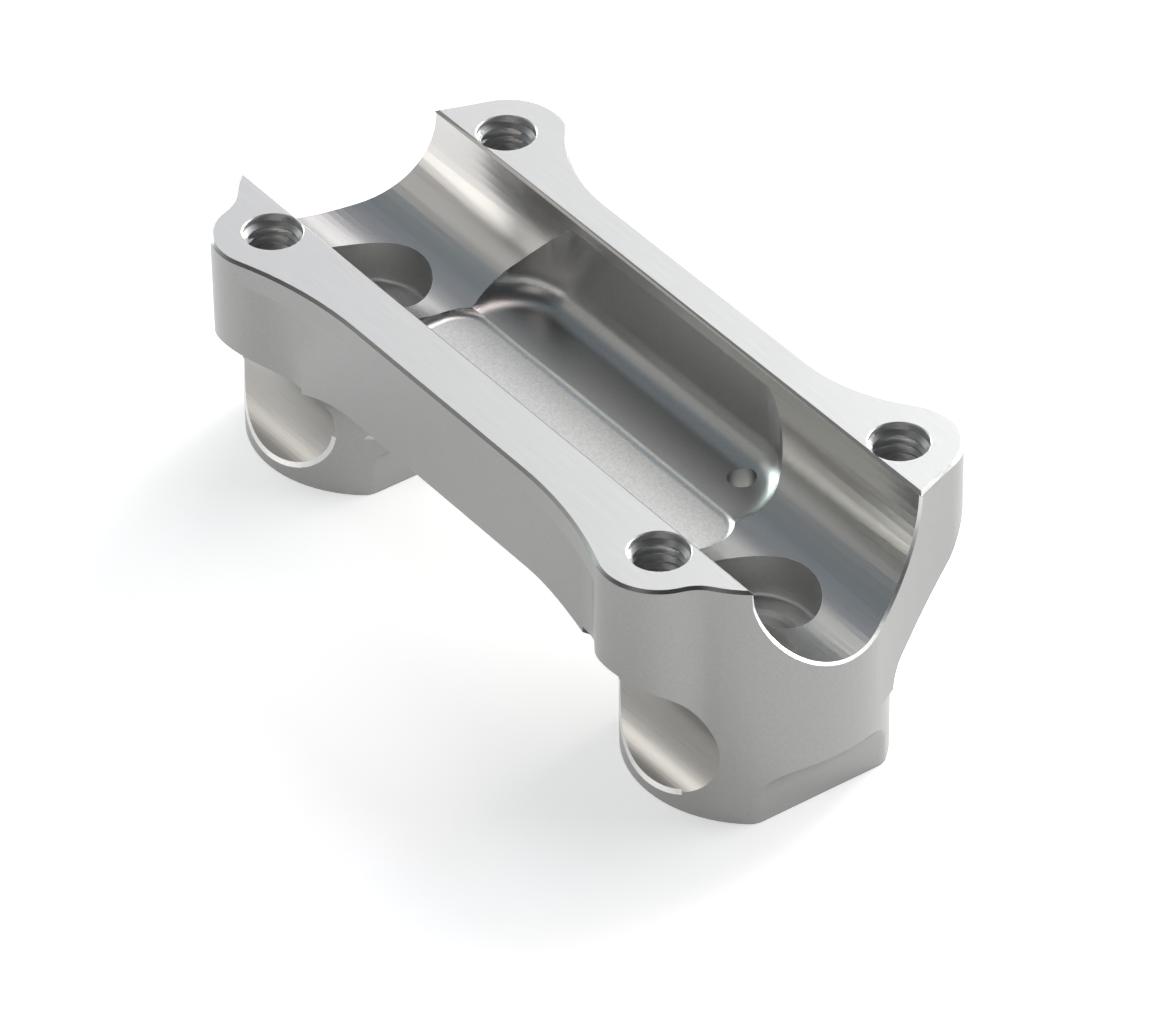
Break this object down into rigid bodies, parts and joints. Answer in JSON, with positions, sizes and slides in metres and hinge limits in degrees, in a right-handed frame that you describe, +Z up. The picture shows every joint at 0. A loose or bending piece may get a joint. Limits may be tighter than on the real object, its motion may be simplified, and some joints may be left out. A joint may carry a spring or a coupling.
{
  "type": "handlebar clamp",
  "caption": "Lower half of a handlebar clamp: a machined bridge with a half-round bar saddle on two round bolted feet.",
  "frame": {"origin": "middle of the footprint, on the surface the feet stand on", "axes": "+X along the handlebar, +Y towards the rear wall (the narrow side), +Z up, out of the saddle"},
  "size_m": [0.1194, 0.0538, 0.037],
  "materials": {
    "aluminium": "satin machined, clear anodised"
  },
  "bodies": {
    "root": {"clamp_body": "aluminium"}
  },
  "joints": []
}
